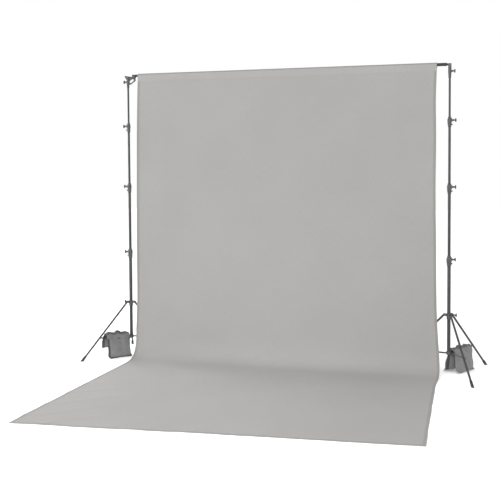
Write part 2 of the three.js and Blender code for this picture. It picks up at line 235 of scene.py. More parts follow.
def plate(outline, side0, side1, ease=0.0):
    """A plate whose outline is in the radial plane as (radius, height), from side0 to side1 across."""
    bm = bmesh.new()
    near, far = [
        [bm.verts.new((r * MM, side * MM, z * MM)) for r, z in outline] for side in (side0, side1)
    ]
    caps = [bm.faces.new(near), bm.faces.new(far[::-1])]
    for i in range(len(outline)):
        j = (i + 1) % len(outline)
        bm.faces.new((near[j], near[i], far[i], far[j]))
    if ease:
        rims = [edge for cap in caps for edge in cap.edges]
        bmesh.ops.bevel(bm, geom=rims, offset=ease * MM, segments=2, affect="EDGES", clamp_overlap=True)
    return mesh_of(bm)


def block(x0, x1, y0, y1, z0, z1, ease=1.0):
    outline = rounded([(x0, z0), (x1, z0), (x1, z1), (x0, z1)], ease, 2, closed=True)
    return plate(outline, y0, y1, ease * 0.6)


def arc(cx, cz, radius, start, stop, steps=12):
    spots = []
    for i in range(steps + 1):
        a = math.radians(start + (stop - start) * i / steps)
        spots.append((cx + radius * math.cos(a), cz + radius * math.sin(a)))
    return spots


def moved(mesh, matrix):
    mesh.transform(matrix)
    return mesh


def along_x(mesh):
    return moved(mesh, Matrix.Rotation(math.pi / 2, 4, "Y"))


def pin(r, z, radius, side0, side1, ease=0.0):
    """A round piece across the radial plane, at that radius and height."""
    mesh = moved(rod(radius, side0, side1, ease, SMALL_ROUND), Matrix.Rotation(-math.pi / 2, 4, "X"))
    return moved(mesh, Matrix.Translation((r * MM, 0, z * MM)))


def lifted(mesh, z):
    return moved(mesh, Matrix.Translation((0, 0, z * MM)))


def spun(mesh, degrees):
    return moved(mesh, Matrix.Rotation(math.radians(degrees), 4, "Z"))


def joined(parts, cuts=()):
    """One closed mesh from several, with the cuts taken away."""
    objects = [linked("part", mesh) for mesh in [*parts, *cuts]]
    base = objects[0]
    for i, other in enumerate(objects[1:], start=1):
        change = base.modifiers.new("join", "BOOLEAN")
        change.operation = "UNION" if i < len(parts) else "DIFFERENCE"
        change.solver = "MANIFOLD"
        change.object = other
    done = bpy.data.meshes.new_from_object(evaluated(base))
    for obj in objects:
        bpy.data.objects.remove(obj)
    return done


def tinted(mesh, material):
    mesh.materials.clear()
    mesh.materials.append(material)
    return mesh


def smooth(mesh, angle=34):
    mesh.shade_smooth()
    mesh.set_sharp_from_angle(angle=math.radians(angle))
    return mesh


def placed(name, mesh, body, matrix=None):
    obj = linked(name, mesh)
    obj.matrix_world = matrix or Matrix.Identity(4)
    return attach(obj, body)


def place(name, mesh, matrix, node, body=None):
    """Puts a piece over its CAD node; its body has the node's own name unless another is given."""
    obj = placed(name, mesh, body or node, matrix)
    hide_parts(node)


# ---- materials

SHADE_FADE = 0.006  # half the height over which the painted shade along the pocket's top fades in
BAG_WARMTH = 0.004


class Paint:
    """A material and short ways to add nodes to it."""

    def __init__(self, name):
        self.material = bpy.data.materials.new(name)
        self.material.use_nodes = True
        self.tree = self.material.node_tree
        self.shader = self.tree.nodes["Principled BSDF"]

    def add(self, kind, inputs=None, **settings):
        node = self.tree.nodes.new("ShaderNode" + kind)
        for key, value in settings.items():
            setattr(node, key, value)
        for key, value in (inputs or {}).items():
            if isinstance(value, bpy.types.NodeSocket):
                self.tree.links.new(value, node.inputs[key])
            else:
                node.inputs[key].default_value = value
        return node

    def feed(self, socket, value):
        self.tree.links.new(value, self.shader.inputs[socket])

    def fix(self, socket, value):
        self.shader.inputs[socket].default_value = value

    def place(self, kind="Object"):
        return self.add("TexCoord").outputs[kind]

    def stretched(self, coordinates, scale):
        return self.add("Mapping", {"Vector": coordinates, "Scale": scale}).outputs[0]

    def noise(self, coordinates, scale, detail=3.0, roughness=0.55):
        inputs = {"Vector": coordinates, "Scale": scale, "Detail": detail, "Roughness": roughness}
        return self.add("TexNoise", inputs).outputs["Fac"]

    def ramp(self, value, stops):
        node = self.add("ValToRGB", {"Fac": value})
        elements = node.color_ramp.elements
        for i, (position, colour) in enumerate(stops):
            element = elements[i] if i < len(elements) else elements.new(position)
            element.position = position
            element.color = (*colour, 1.0)
        return node.outputs["Color"]

    def scaled(self, value, low, high):
        inputs = {"Value": value, "To Min": low, "To Max": high}
        return self.add("MapRange", inputs).outputs["Result"]

    def maths(self, operation, a, b=0.0):
        return self.add("Math", {0: a, 1: b}, operation=operation).outputs[0]

    def mixed(self, share, a, b, blend="MIX"):
        values = {0: share, 6: a, 7: b}
        for index in (6, 7):
            if isinstance(values[index], tuple):
                values[index] = (*values[index], 1.0)
        node = self.add("Mix", values, data_type="RGBA", blend_type=blend)
        return node.outputs[2]

    def bump(self, height, strength, distance):
        inputs = {"Height": height, "Strength": strength, "Distance": distance}
        self.feed("Normal", self.add("Bump", inputs).outputs["Normal"])


def grey(level, warmth=0.0):
    return (level * (1 + warmth), level, level * (1 - warmth))


def metal(name, level, roughness, metallic, grain=(1, 1, 0.03), wear=0.35):
    """A painted or anodised metal with a faint grain, handling marks and worn flecks."""
    paint = Paint(name)
    where = paint.place()
    streaks = paint.noise(paint.stretched(where, grain), 900, 2.0)
    clouds = paint.noise(where, 14, 4.0)
    flecks = paint.noise(where, 420, 6.0, 0.7)
    base = paint.ramp(clouds, ((0.3, grey(level * 0.86)), (0.7, grey(level * 1.12))))
    worn = paint.ramp(flecks, ((0.66, grey(0.0)), (0.72, grey(1.0))))
    share = paint.maths("MULTIPLY", worn, wear)
    paint.feed("Base Color", paint.mixed(share, base, grey(level * 2.6)))
    paint.feed("Roughness", paint.scaled(streaks, roughness - 0.08, roughness + 0.1))
    paint.fix("Metallic", metallic)
    paint.bump(paint.maths("ADD", streaks, flecks), 0.12, 0.0004)
    return paint.material


def moulded(name, level, roughness, texture=700):
    """Moulded plastic or rubber with a fine spark texture."""
    paint = Paint(name)
    where = paint.place()
    grain = paint.noise(where, texture, 3.0)
    dust = paint.noise(where, 35, 4.0)
    paint.feed("Base Color", paint.ramp(dust, ((0.35, grey(level * 0.85)), (0.75, grey(level * 1.3)))))
    paint.feed("Roughness", paint.scaled(grain, roughness - 0.06, roughness + 0.08))
    paint.bump(grain, 0.25, 0.0003)
    return paint.material


def weave(paint, where, pitch, twill=0.0):
    """The height of a woven cloth with that thread pitch in metres; twill leans its rib."""
    scale = 2 * math.pi / (20 * pitch)  # at scale 1 the texture's wave is 2 pi / 20 long
    turned_by = paint.add("Mapping", {"Vector": where, "Rotation": (0, 0, twill)}).outputs[0]
    threads = []
    for direction in ("X", "Y"):
        inputs = {"Vector": turned_by, "Scale": scale, "Distortion": 0.4, "Detail": 1.0}
        wave = paint.add("TexWave", inputs, bands_direction=direction)
        threads.append(wave.outputs["Fac"])
    return paint.maths("MULTIPLY", threads[0], threads[1])


def muslin(name, colour, darker=1.0, shade_above=None):
    """Plain woven backdrop cloth: a fine weave, slubs, and faint cloudy unevenness. Past the height in
    the last argument, over the black crossbar, it is darkened as painted shade."""
    paint = Paint(name)
    where = paint.place("UV")
    threads = weave(paint, where, 0.0012)
    slubs = paint.noise(paint.stretched(where, (1, 0.08, 1)), 260, 3.0)
    clouds = paint.noise(where, 1.6, 3.0)
    tone = [tuple(c * darker * k for c in colour) for k in (0.975, 1.02)]
    base = paint.ramp(clouds, ((0.3, tone[0]), (0.7, tone[1])))
    light = paint.ramp(slubs, ((0.3, grey(0.93)), (0.7, grey(1.0))))
    tint = paint.mixed(1.0, base, light, "MULTIPLY")
    # painted shade: above that height, over the black crossbar, the cloth is mixed towards dark grey
    if shade_above is not None:
        height = paint.add("SeparateXYZ", {"Vector": paint.place()}).outputs["Z"]
        low, high = shade_above - SHADE_FADE, shade_above + SHADE_FADE
        spread = {"Value": height, "From Min": low, "From Max": high}
        over = paint.add("MapRange", spread).outputs["Result"]
        tint = paint.mixed(paint.maths("MULTIPLY", over, 0.5), tint, grey(0.12))
    paint.feed("Base Color", tint)
    paint.fix("Roughness", 0.93)
    paint.fix("Sheen Weight", 0.12)
    paint.fix("Specular IOR Level", 0.2)
    paint.bump(paint.maths("ADD", threads, slubs), 0.2, 0.0004)
    return paint.material


def canvas(name, level, pitch, twill):
    """Heavy bag cloth: a ribbed weave with dusty, faded patches."""
    paint = Paint(name)
    where = paint.place("UV")
    threads = weave(paint, where, pitch, twill)
    patches = paint.noise(where, 16, 5.0, 0.6)
    rubbed = paint.noise(where, 90, 4.0, 0.7)
    tones = [grey(level * k, BAG_WARMTH) for k in (0.88, 1.12)]
    base = paint.ramp(patches, ((0.3, tones[0]), (0.7, tones[1])))
    ribs = paint.ramp(threads, ((0.0, grey(0.8)), (0.8, grey(1.08))))
    tint = paint.mixed(1.0, base, ribs, "MULTIPLY")
    fade = paint.ramp(rubbed, ((0.55, grey(0.0)), (0.8, grey(0.35))))
    paint.feed("Base Color", paint.mixed(fade, tint, grey(level * 1.5, BAG_WARMTH)))
    paint.fix("Roughness", 0.78)
    paint.fix("Sheen Weight", 0.2)
    paint.bump(threads, 0.55, 0.0009)
    return paint.material


TUBE_PAINT = metal("mast_tube_metal", 0.041, 0.42, 0.25)
LEG_PAINT = metal("leg_tube_metal", 0.040, 0.42, 0.25)
CAST_PAINT = metal("die_casting", 0.07, 0.5, 0.2, (1, 1, 1), 0.5)
BAR_PAINT = metal("black_bar", 0.016, 0.4, 0.1, (0.03, 1, 1), 0.15)
STEEL = metal("bright_steel", 0.4, 0.28, 0.95, (1, 1, 1), 0.2)
PLASTIC = moulded("knob_plastic_black", 0.03, 0.5)
BAR_PLASTIC = moulded("bar_plastic_black", 0.022, 0.45)
RUBBER = moulded("foot_rubber_black", 0.028, 0.8, 500)
CLOTH_COLOUR = (0.311, 0.305, 0.2965)
CLOTH = muslin("grey_muslin", CLOTH_COLOUR)
HEM = muslin("grey_muslin_hem", CLOTH_COLOUR, 0.82)
# the pocket's top, above the crossbar's height, gets painted shade
POCKET_CLOTH = muslin("grey_muslin_pocket", CLOTH_COLOUR, 1.04, BAR.z + 0.008)
BAG = canvas("bag_canvas", 0.175, 0.0026, math.radians(38))
BINDING = canvas("bag_binding", 0.048, 0.0016, 0.0)
WEBBING = canvas("bag_webbing", 0.085, 0.002, math.radians(45))


# ---- knobs and mast collars


def knob_mesh(reach, screw_from):
    """A T-shaped clamp knob: its steel screw lies along +X, and its wing's centre is at reach."""
    end = -KNOB_HALF
    wing = [(-4.5, -6), (-6.5, end + 4), (-4, end), (3, end), (6.5, end + 4), (4.6, -6)]
    outline = rounded([(reach + r, z) for r, z in mirrored(wing)], 4, 4, closed=True)
    cap = along_x(rod(7.5, reach + 2, reach + 6.4, 1.5, SMALL_ROUND))
    start, stop = reach - KNOB_NECK, reach - 3
    neck = rounded([(0, start), (6, start), (8.5, stop), (0, stop)], 1.5)
    parts = [plate(outline, -6, 6, 2.4), along_x(turned(neck, SMALL_ROUND)), cap]
    grip = [pin(reach + 8.2, z, 2.6, -9, 9) for z in (-11.5, 11.5)]
    body = tinted(joined(parts, grip), PLASTIC)
    thread = [(0, screw_from)]
    steps = max(2, int((reach - 12 - screw_from) / THREAD_PITCH))
    for i in range(steps):
        z = screw_from + i * THREAD_PITCH
        thread += [(SCREW_R - 0.55, z), (SCREW_R, z + 0.5), (SCREW_R, z + 0.75)]
    thread.append((0, screw_from + steps * THREAD_PITCH))
    screw = tinted(along_x(turned(thread, SMALL_ROUND)), STEEL)
    return smooth(stacked([body, screw]))


def stacked(meshes):
    """One mesh of several closed shells, each with its own material."""
    bm = bmesh.new()
    materials = []
    for mesh in meshes:
        shift = len(materials)
        materials += list(mesh.materials)
        start = len(bm.faces)
        bm.from_mesh(mesh)
        bm.faces.ensure_lookup_table()
        for face in bm.faces[start:]:
            face.material_index += shift
    whole = saved(bm, "pieces")
    for material in materials:
        whole.materials.append(material)
    return whole


def boss(reach):
    profile = [(0, 0), (BOSS_R, 0), (BOSS_R, reach - 4), (BOSS_R - 2.5, reach), (0, reach)]
    return along_x(turned(rounded(profile, 1), SMALL_ROUND))


def casting(parts, cuts):
    return smooth(tinted(joined(parts, cuts), CAST_PAINT))


def screw_hole(start, stop):
    return along_x(rod(SCREW_R + GAP, start, stop, 0, SMALL_ROUND))


def collar_mesh(lower, upper):
    """The clamp on a tube's top: it grips the lower tube and guides the riser above."""
    skirt, body, neck = lower + 4.5, lower + 7, upper + 4.5
    profile = [
        (0, -COLLAR_BELOW), (skirt - 0.8, -COLLAR_BELOW), (skirt, -COLLAR_BELOW + 2), (skirt, -54),
        (skirt - 1.1, -52.5), (skirt - 1.1, -50), (skirt, -48.5), (skirt + 1, -24), (body, -12),
        (body, 10), (neck + 1, 20), (neck - 0.6, 24), (neck, 26), (neck, COLLAR_ABOVE), (0, COLLAR_ABOVE),
    ]
    parts = [turned(rounded(profile, 1.2, 2)), boss(BOSS_REACH)]
    lug = lower + 15
    parts.append(block(5, lug, -6, 6, -46, -32, 2))
    for z in (-17, 17):
        parts.append(block(5, lower + 11, -5, 5, z - 4, z + 4, 2))
    outer = body + 1.6
    rib = [(4, -44), (skirt + 1.6, -44), (outer, -10), (outer, 8), (neck + 0.5, 20), (4, 20)]
    for turn in (90, 180, 270):
        parts.append(spun(plate(rounded(rib, 2, 2, closed=True), -1.6, 1.6, 0.6), turn))
    parts.append(pin(lug - 4, -39, 3.6, -8, 8, 1))
    cuts = [
        rod(lower + GAP, -COLLAR_BELOW - 1, 6 + GAP),
        rod(upper + GAP, 0, COLLAR_ABOVE + 1),
        screw_hole(lower + 5, BOSS_REACH + 1),
        plate([(lower - 3, -60), (lower + 20, -60), (lower + 20, -26), (lower - 3, -26)], -1, 1),
    ]
    return casting(parts, cuts)


# ---- tripod


def tripod_collar_mesh():
    """The sliding collar, with its knob's boss along +X and a fork for each leg at 60, 180, 300."""
    profile = [
        (0, -40), (21, -40), (22, -38), (22, -32), (20.4, -30), (20.4, -12), (22.5, -8), (22.5, 9),
        (21, 13), (0, 13),
    ]
    parts = [turned(rounded(profile, 1.2, 2))]
    inner = LEG_R + 0.6
    outer = inner + LUG_THICK
    lug = [(12, -16), (30, -13), *arc(LEG_PIVOT_R, 0, 9, -80, 90), (12, 10)]
    for turn in (60, 180, 300):
        for side0, side1 in ((inner, outer), (-outer, -inner)):
            parts.append(spun(plate(lug, side0, side1, 0.8), turn))
        parts.append(spun(pin(LEG_PIVOT_R, 0, PIN_R, -inner - 1, inner + 1), turn))
        for side in (1, -1):
            head = sorted((side * (outer - 1), side * (outer + 2)))
            parts.append(spun(pin(LEG_PIVOT_R, 0, PIN_HEAD_R, *head, 1.2), turn))
    parts.append(lifted(boss(TRIPOD_BOSS_REACH), -KNOB_BELOW_PIVOT))
    cuts = [rod(TUBE_R[0] + GAP, -50, 50), lifted(screw_hole(24, TRIPOD_KNOB_R), -KNOB_BELOW_PIVOT)]
    return casting(parts, cuts)


def hub_mesh():
    """The fixed hub at the foot of the mast, with an ear and a pin for each brace at 0, 120, 240."""
    profile = mirrored([(0, -15), (20.5, -15), (22, -13), (22, -6), (20.6, -4)])
    parts = [turned(rounded(profile, 1, 2))]
    outside = BRACE_SIDE + BRACE_THICK + GAP
    ear = [(10, -9), *arc(HUB_PIVOT_R, 0, 7, -80, 80), (10, 9)]
    for turn in (0, 120, 240):
        parts.append(spun(plate(ear, BRACE_SIDE - 4.6, BRACE_SIDE - GAP, 0.7), turn))
        parts.append(spun(pin(HUB_PIVOT_R, 0, PIN_R, BRACE_SIDE - 2, outside + 1), turn))
        parts.append(spun(pin(HUB_PIVOT_R, 0, PIN_HEAD_R, outside, outside + 2, 1.2), turn))
    return casting(parts, [rod(TUBE_R[0] + GAP, -30, 30)])


def leg_mesh():
    """A leg down -Z from its pivot: a tube with a plastic plug in its head."""
    body = tube(LEG_R, LEG_R - LEG_WALL, -LEG_LENGTH, LEG_HEAD - 2)
    hole = pin(0, 0, PIN_R + GAP, -LEG_R - 2, LEG_R + 2)
    body = tinted(joined([body], [hole]), LEG_PAINT)
    inside, rim = LEG_R - 1.5, LEG_HEAD - 1.8
    cap = [(0, -3), (inside, -3), (inside, rim), (LEG_R, rim), (LEG_R - 0.5, LEG_HEAD), (0, LEG_HEAD)]
    plug = tinted(joined([turned(cap)], [hole]), PLASTIC)
    return smooth(stacked([body, plug]))


def leg_frame():
    """From a leg's own frame, with its pivot at the origin, to the mast's, with the leg along +X."""
    return Matrix.Translation((LEG_PIVOT_R * MM, 0, PIVOT_Z)) @ Matrix.Rotation(-LEG_LEAN, 4, "Y")


def foot_mesh():
    """The ribbed rubber shoe, in the leg's own frame; its sole is flat on the floor."""
    low = -LEG_LENGTH - 40
    top = FOOT_LENGTH - LEG_LENGTH
    profile = [(0, low), (FOOT_R, low), (FOOT_R, top - 30)]
    for i in range(4):
        z = top - 28 + i * 5
        profile += [(FOOT_R, z), (FOOT_R - 1.1, z + 1.2), (FOOT_R - 1.1, z + 2.4), (FOOT_R, z + 3.4)]
    profile += [(FOOT_R - 0.4, top - 4), (FOOT_R - 1.5, top), (0, top)]
    socket = rod(LEG_R + GAP, -LEG_LENGTH - GAP, top + 10)
    below = plate([(-900, -900), (900, -900), (900, 0), (-900, 0)], -100, 100)
    below = moved(below, leg_frame().inverted())
    return smooth(tinted(joined([turned(rounded(profile, 0.7, 2))], [socket, below]), RUBBER))


def brace_mesh():
    """A flat bar with round ends and a pressed rib, between the hub's pin and the leg's rivet."""
    (r0, z0), (r1, z1) = (HUB_PIVOT_R, HUB_Z / MM), BRACE_END
    slope = math.degrees(math.atan2(z1 - z0, r1 - r0))
    outside = BRACE_SIDE + BRACE_THICK

    def strap(half, start, stop, side0, side1, ease):
        length = math.hypot(r1 - r0, z1 - z0)
        ux, uz = (r1 - r0) / length, (z1 - z0) / length
        a = (r0 + ux * start, z0 + uz * start)
        b = (r1 - ux * stop, z1 - uz * stop)
        ends = arc(*b, half, slope - 90, slope + 90) + arc(*a, half, slope + 90, slope + 270)
        return plate(ends, side0, side1, ease)

    parts = [
        strap(BRACE_HALF, 0, 0, BRACE_SIDE, outside, 0.7),
        strap(BRACE_HALF - 4.2, 22, 22, outside - 1, outside + 0.9, 0.8),
        pin(r1, z1, 7.2, outside - 1, outside + 0.7, 0.3),
        pin(r1, z1, PIN_HEAD_R, outside - 1, outside + 2, 1.3),
    ]
    hole = pin(r0, z0, PIN_R + GAP, BRACE_SIDE - 5, outside + 5)
    return smooth(tinted(joined(parts, [hole]), LEG_PAINT))


# ---- crossbar brackets


def sleeve(top):
    profile = [
        (0, -BRACKET_BOTTOM), (12.6, -BRACKET_BOTTOM), (13.4, -BRACKET_BOTTOM + 3), (13.4, -112),
        (12.8, -110), (15.5, -76), (15.5, top - 2), (14.5, top), (0, top),
    ]
    return turned(rounded(profile, 1.2, 2))


def sleeve_cuts(knob):
    hole = spun(lifted(screw_hole(15, 60), -BRACKET_KNOB_DROP), knob)
    return [rod(TUBE_R[3] + GAP, -BRACKET_BOTTOM - 1, -40 + GAP), hole]


def sleeve_boss(knob):
    return spun(lifted(boss(BRACKET_BOSS_REACH), -BRACKET_KNOB_DROP), knob)


def trough(radius, low, high):
    """Cuts an open cradle for the crossbar, from low to high along it."""
    return along_x(rod(radius, low, high)), block(low, high, -radius, radius, 0, 30, 0.2)


def arm_bracket_mesh(knob):
    """The arm, strut and cradle that hold the crossbar's left end, with height 0 at its axis."""
    web = [
        (-36, 2), (-36, -7), (-14, -44), (-10, -88), (30, -88), (84, -52), (84, -19), (58, -19), (58, -14),
    ]
    window = [(16, -70), (32, -74), (66, -50), (66, -36), (44, -34), (18, -52)]
    rim = [(-37.5, 3), (-37.5, 0), (58, -16), (84, -21), (84, -18), (58, -12)]
    parts = [
        sleeve(-6),
        plate(rounded(web, 3, 3, closed=True), -5, 5, 1.2),
        plate(rounded(rim, 1, 2, closed=True), -8, 8, 1),
        block(58, 84, -17, 17, -22, 4, 2.2),
        pin(26, -76, 8, -10, 10, 1.5),
        sleeve_boss(knob),
    ]
    window = plate(rounded(window, 4, 3, closed=True), -20, 20)
    cuts = [window, *trough(INNER_BAR_R + GAP, 48, 100), *sleeve_cuts(knob)]
    return casting(parts, cuts)


def saddle_bracket_mesh(knob):
    """The sleeve with a saddle on its top that holds the crossbar's right end."""
    parts = [sleeve(-16), block(-14, 14, -15, 15, -26, 2, 2.2), sleeve_boss(knob)]
    cuts = [*trough(PLUG_R + GAP, -40, 40), *sleeve_cuts(knob)]
    return casting(parts, cuts)


# ---- the stands


def tube_mesh(node, radius):
    low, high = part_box(node)
    return smooth(tinted(tube(radius, radius - TUBE_WALL, low.z / MM, high.z / MM), TUBE_PAINT))


def build_masts():
    names = ("base_tube", "riser_2", "riser_3", "riser_4")
    tubes = [tube_mesh(f"left_{name}", r) for name, r in zip(names, TUBE_R)]
    collars = [collar_mesh(TUBE_R[k], TUBE_R[k + 1]) for k in range(3)]
    knobs = [knob_mesh(MAST_KNOB_R, TUBE_R[k] + 6) for k in range(3)]
    for side in SIDES:
        bodies = [f"{side}_base", *(f"{side}_{name}" for name in names[1:])]
        for name, mesh, body in zip(names, tubes, bodies):
            place(f"{side}_{name}_skin", mesh, on_mast(side, 0), f"{side}_{name}", body)
        for k, z in enumerate(COLLAR_Z):
            spot = on_mast(side, z, KNOB_ANGLE[side])
            collar, knob = f"{side}_collar_{k + 1}", f"{side}_knob_{k + 1}"
            place(f"{collar}_cast", collars[k], spot, collar, bodies[k])
            place(f"{knob}_grip", knobs[k], spot, knob)


def build_tripods():
    collar, hub, leg, foot, brace = (
        tripod_collar_mesh(), hub_mesh(), leg_mesh(), foot_mesh(), brace_mesh(),
    )
    knob = knob_mesh(TRIPOD_KNOB_R, 25)
    to_pivot = leg_frame()
    for side in SIDES:
        spot = on_mast(side, PIVOT_Z, KNOB_ANGLE[side])
        place(f"{side}_tripod_cast", collar, spot, f"{side}_tripod_collar", f"{side}_tripod")
        spot = on_mast(side, PIVOT_Z - KNOB_BELOW_PIVOT * MM, KNOB_ANGLE[side])
        place(f"{side}_tripod_knob_grip", knob, spot, f"{side}_tripod_knob")
        spot = on_mast(side, HUB_Z, LEG_ANGLES[side][0])
        place(f"{side}_hub_cast", hub, spot, f"{side}_brace_hub", f"{side}_base")
        for i, angle in enumerate(LEG_ANGLES[side], start=1):
            out = on_mast(side, 0, angle)
            hip = out @ to_pivot
            body, shoe, bar = f"{side}_leg_{i}", f"{side}_foot_{i}", f"{side}_brace_{i}"
            place(f"{body}_tube", leg, hip, body)
            sole = moved(foot.copy(), hip)
            place(f"{shoe}_rubber", sole, Matrix.Identity(4), shoe, body)
            place(f"{bar}_bar", brace, out, bar)


def build_brackets():
    knob = knob_mesh(BRACKET_KNOB_R, 16)
    shapes = {"left": arm_bracket_mesh, "right": saddle_bracket_mesh}
    for side in SIDES:
        turn = KNOB_ANGLE[side]
        bracket = shapes[side](turn)
        spot = on_mast(side, BAR.z)
        place(f"{side}_bracket_cast", bracket, spot, f"{side}_bracket", f"{side}_riser_4")
        spot = on_mast(side, BAR.z - BRACKET_KNOB_DROP * MM, turn)
        place(f"{side}_bracket_knob_grip", knob, spot, f"{side}_bracket_knob")


def span(node):
    return [corner.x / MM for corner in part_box(node)]


def build_crossbar():
    axis = Matrix.Translation((0, BAR.y, BAR.z))
    inner = smooth(tinted(along_x(tube(INNER_BAR_R, 10.4, *span("crossbar_inner"), 0.6)), BAR_PAINT))
    place("crossbar_inner_tube", inner, axis, "crossbar_inner", "left_riser_4")
    outer = smooth(tinted(along_x(tube(OUTER_BAR_R, 12.6, *span("crossbar_outer"), 0.8)), BAR_PAINT))
    place("crossbar_outer_tube", outer, axis, "crossbar_outer")
    low, high = span("crossbar_lock")
    lock = [
        (12.3, low), (15.6, low), (17, low + 5), (17, high - 2), (16.4, high), (15.3, high),
        (15.3, low + 23.7), (12.3, low + 23.7), (12.3, low),
    ]
    ring = smooth(tinted(along_x(fluted(turned(lock))), BAR_PLASTIC))
    place("crossbar_lock_ring", ring, axis, "crossbar_lock")
    low, high = span("crossbar_end_plug")
    plug = [
        (0, low), (12.3, low), (12.3, low + 40.3), (15.6, low + 40.3), (15.6, low + 46), (14.6, low + 47),
        (PLUG_R, low + 47), (PLUG_R, high - 1.5), (PLUG_R - 1.5, high), (0, high),
    ]
    plug = smooth(tinted(along_x(turned(rounded(plug, 0.6, 2))), BAR_PLASTIC))
    place("crossbar_plug", plug, axis, "crossbar_end_plug", "crossbar_outer")


def fluted(mesh):
    """Cuts grip grooves along a turned ring."""
    grooves = []
    for turn in range(0, 360, 30):
        groove = rod(1.3, -400, 100, 0, 12)
        grooves.append(spun(moved(groove, Matrix.Translation((17.6 * MM, 0, 0))), turn))
    return joined([mesh], grooves)


# ---- backdrop

HALF_WIDTH = 1.513
POCKET_R = 0.0182
POCKET_SEAM = 0.060
SHEET_THICK = 0.0009
LIFT = 0.0012  # of the cloth's middle above the floor
BEND_END = -0.560  # from the masts, where the sweep reaches the floor
REACH = {"left": (-1.457, -2.650), "right": (1.706, -2.360)}
FLARE = {  # how much wider each edge stands, by height
    "left": ((0, 0.3, 0.6), (-0.006, 0.010, 0)),
    "right": ((0, 0.3, 0.62, 1.1, 1.6, 2.1, 2.5), (0.058, 0.038, 0.024, 0.018, 0.017, 0.009, 0)),
}
DRAW_IN = 0.008
ACROSS = 200
DOWN = 330
HEM_WIDE = 0.024
HEM_STANDS = 0.0007
HANG_STEPS = 400
CLOTH_ANGLE = 60  # an edge sharper than this stays sharp

MIDDLE_X = (MAST["left"].x + MAST["right"].x) / 2
SHEET_TOP = BAR.z - POCKET_SEAM
SWEEP = (
    (-0.0225, SHEET_TOP), (-0.047, 2.550), (-0.092, 1.770), (-0.106, 1.100), (-0.108, 0.700),
    (-0.114, 0.400), (-0.124, 0.250), (-0.155, 0.130), (-0.215, 0.050), (-0.320, 0.010), (BEND_END, LIFT),
)


def smoothstep(low, high, x):
    t = min(1.0, max(0.0, (x - low) / (high - low)))
    return t * t * (3 - 2 * t)


def spline(points, count):
    """Points evenly spaced along a smooth curve through these."""
    ends = [Vector(p) for p in (points[0], *points, points[-1])]
    ends[0] = ends[1] * 2 - ends[2]
    ends[-1] = ends[-2] * 2 - ends[-3]
    fine = []
    for i in range(1, len(ends) - 2):
        a, b, c, d = ends[i - 1 : i + 3]
        for k in range(40):
            t = k / 40
            curve = 2 * b + (c - a) * t + (2 * a - 5 * b + 4 * c - d) * t * t
            fine.append((curve + (3 * b - a - 3 * c + d) * t**3) / 2)
    fine.append(ends[-2])
    lengths = np.cumsum([0] + [(q - p).length for p, q in zip(fine, fine[1:])])
    wanted = np.linspace(0, lengths[-1], count)
    columns = [np.interp(wanted, lengths, [p[i] for p in fine]) for i in range(2)]
    return list(zip(*columns)), lengths[-1]


HANG, HANG_LENGTH = spline(SWEEP, HANG_STEPS + 1)
FLOOR_RUN = -(REACH["left"][1] + REACH["right"][1]) / 2 + BEND_END
PATH_LENGTH = HANG_LENGTH + FLOOR_RUN


def sheet_point(u, v):
    """The place of the cloth at u across, from -1 to 1, and v down its length, from 0 to 1."""
    run = v * PATH_LENGTH
    across = (u + 1) / 2
    if run < HANG_LENGTH:
        spot = run / HANG_LENGTH * HANG_STEPS
        i = min(HANG_STEPS - 1, int(spot))
        t = spot - i
        y = HANG[i][0] * (1 - t) + HANG[i + 1][0] * t
        z = HANG[i][1] * (1 - t) + HANG[i + 1][1] * t
        share = 0.0
    else:
        share = (run - HANG_LENGTH) / FLOOR_RUN
        y, z = BEND_END, LIFT
    left = -HALF_WIDTH - np.interp(z, *FLARE["left"])
    left += (REACH["left"][0] - left) * share
    right = HALF_WIDTH + np.interp(z, *FLARE["right"])
    right += (REACH["right"][0] - right) * share
    reach = REACH["left"][1] + (REACH["right"][1] - REACH["left"][1]) * across
    y += (reach - BEND_END) * share
    pinch = 1 - DRAW_IN * math.sin(math.pi * min(1.0, z / BAR.z)) * (1 - smoothstep(0, 0.02, share))
    x = (left + (right - left) * across) * pinch
    x, y, z = folds(x, y, z, u, share)
    return Vector((MIDDLE_X + x, BAR.y + y, z))


def folds(x, y, z, u, share):
    """The cloth's own unevenness: soft vertical waves where it hangs, creases where it lies."""
    hang = smoothstep(0.12, 0.6, z) * (1 - smoothstep(2.45, 2.83, z))
    edge = abs(u) ** 10
    broad = 0.010 * noise((x * 1.5, 3.1, z * 0.3))
    narrow = 0.006 * noise((x * 4.1, 8.3, z * 0.5))
    y += hang * (broad + narrow)
    y += hang * edge * 0.016 * noise((u * 3, 1.7, z * 1.3))
    x += hang * edge * u * 0.007 * noise((u * 5, 4.4, z * 1.9))
    lying = 1 - smoothstep(0.015, 0.16, z)
    ripple = noise((x * 1.3 + 4, y * 1.1, 2.2))
    z += lying * 0.008 * max(0.0, ripple) ** 1.5
    near_left = smoothstep(0.45, 0.97, -u) * smoothstep(0.1, 0.5, share)
    lean = (x * 0.62 - y * 0.78) * 21 + 1.6 * noise((x * 2.1, y * 2.1, 7.7))
    z += near_left * 0.0028 * max(0.0, math.sin(lean)) ** 2
    rim = smoothstep(0.93, 1.0, share)
    y += rim * 0.014 * noise((x * 3.3, 5.5, 0.3)) + rim * 0.005 * noise((x * 11, 1.5, 0.7))
    z += rim * 0.004 * max(0.0, noise((x * 5.0, 9.5, 0.1)))
    x += lying * edge * u * 0.006 * noise((y * 4.0, 6.5, 0.9))
    return x, y, z


def round_grid(columns, rows):
    """The column and row of each point round the edge of a grid."""
    rim = [(i, 0) for i in range(columns)] + [(columns, j) for j in range(rows)]
    return rim + [(i, rows) for i in range(columns, 0, -1)] + [(0, j) for j in range(rows, 0, -1)]


